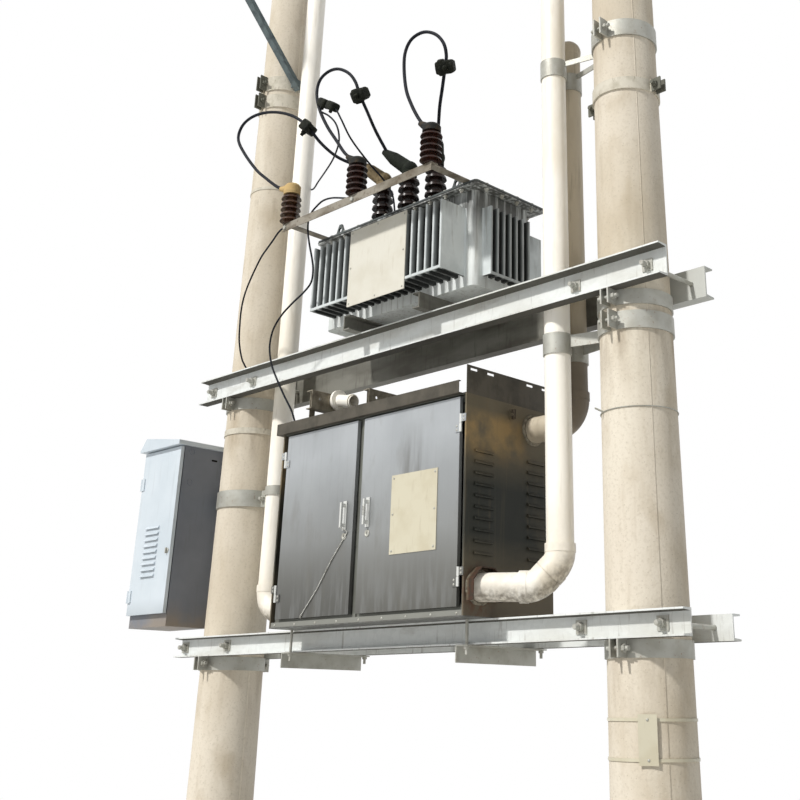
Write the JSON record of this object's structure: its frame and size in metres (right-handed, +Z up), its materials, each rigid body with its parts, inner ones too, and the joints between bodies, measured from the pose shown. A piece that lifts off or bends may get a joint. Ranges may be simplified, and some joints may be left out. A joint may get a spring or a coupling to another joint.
{
  "type": "two-pole transformer station",
  "caption": "Two-pole distribution transformer platform: channel beams carry a finned transformer above a double-door low-voltage cabinet.",
  "frame": {"origin": "centre of the left pole's flat face at ground level", "axes": "+X along the beams from the left pole to the right pole, +Y to the back, +Z up the poles"},
  "size_m": [3.335, 1.17, 10],
  "materials": {
    "concrete": "spun concrete, cream, rain streaked",
    "galvanised_steel": "hot-dip galvanised, dull",
    "weathered_stainless": "brushed stainless sheet, weathered and streaked",
    "dark_side_sheet": "weathered stainless sheet, dull brown-grey",
    "transformer_paint": "pale grey tank enamel",
    "brown_porcelain": "glazed brown porcelain",
    "plate_enamel": "cream enamelled sheet, blank",
    "conduit_plastic": "white PVC, yellowed and dirty at the bends",
    "cable_black": "black sheathed lead",
    "boot_rubber": "black-green rubber boot",
    "box_paint": "pale grey-blue sheet enamel"
  },
  "bodies": {
    "station": {"pole_left": "concrete", "pole_right": "concrete", "upper_beam_front": "galvanised_steel", "upper_beam_back": "galvanised_steel", "lower_beam_front": "galvanised_steel", "lower_beam_back": "galvanised_steel", "upper_tie_bolts": "galvanised_steel", "lower_tie_bolts": "galvanised_steel", "upper_pole_clamps": "galvanised_steel", "lower_pole_clamps": "galvanised_steel", "cabinet_floor": "weathered_stainless", "cabinet_left_wall": "dark_side_sheet", "cabinet_right_wall": "dark_side_sheet", "cabinet_back_wall": "weathered_stainless", "cabinet_front_frame": "weathered_stainless", "cabinet_hinges": "galvanised_steel", "cabinet_roof": "weathered_stainless", "cable_hood": "dark_side_sheet", "roof_bearers": "galvanised_steel", "roof_spout": "conduit_plastic", "cabinet_hold_down": "galvanised_steel", "transformer_tank": "transformer_paint", "front_fins": "transformer_paint", "back_fins": "transformer_paint", "end_fins": "transformer_paint", "tank_cover": "transformer_paint", "tank_skids": "galvanised_steel", "hv_bushings": "brown_porcelain", "bushing_boots": "boot_rubber", "lv_bushings": "brown_porcelain", "rating_board": "plate_enamel", "arrester_frame": "galvanised_steel", "surge_arresters": "brown_porcelain", "hv_leads": "cable_black", "earth_leads": "cable_black", "left_conduit": "conduit_plastic", "right_conduit": "conduit_plastic", "back_conduit": "conduit_plastic", "conduit_brackets": "galvanised_steel", "small_box_body": "box_paint", "small_box_roof": "box_paint", "small_box_bracket": "galvanised_steel", "upper_bands": "galvanised_steel", "crossarm": "galvanised_steel", "crossarm_brace": "galvanised_steel", "pole_number_plate": "plate_enamel"},
    "left_cabinet_door": {"cabinet_door_left": "weathered_stainless"},
    "right_cabinet_door": {"cabinet_door_right": "weathered_stainless", "door_sign_plate": "plate_enamel"},
    "small_box_door_leaf": {"small_box_door": "box_paint"}
  },
  "joints": [
    {"name": "left_cabinet_door_hinge", "type": "hinge", "parent": "station", "child": "left_cabinet_door", "pos_m": [0.759, -0.335, 2.3], "axis": [0, 0, -1], "range_deg": [0, 110]},
    {"name": "right_cabinet_door_hinge", "type": "hinge", "parent": "station", "child": "right_cabinet_door", "pos_m": [1.881, -0.335, 2.3], "axis": [0, 0, 1], "range_deg": [0, 110]},
    {"name": "small_box_door_hinge", "type": "hinge", "parent": "station", "child": "small_box_door_leaf", "pos_m": [-0.53, -0.304, 2.4], "axis": [0, 0, -1], "range_deg": [0, 110]}
  ]
}
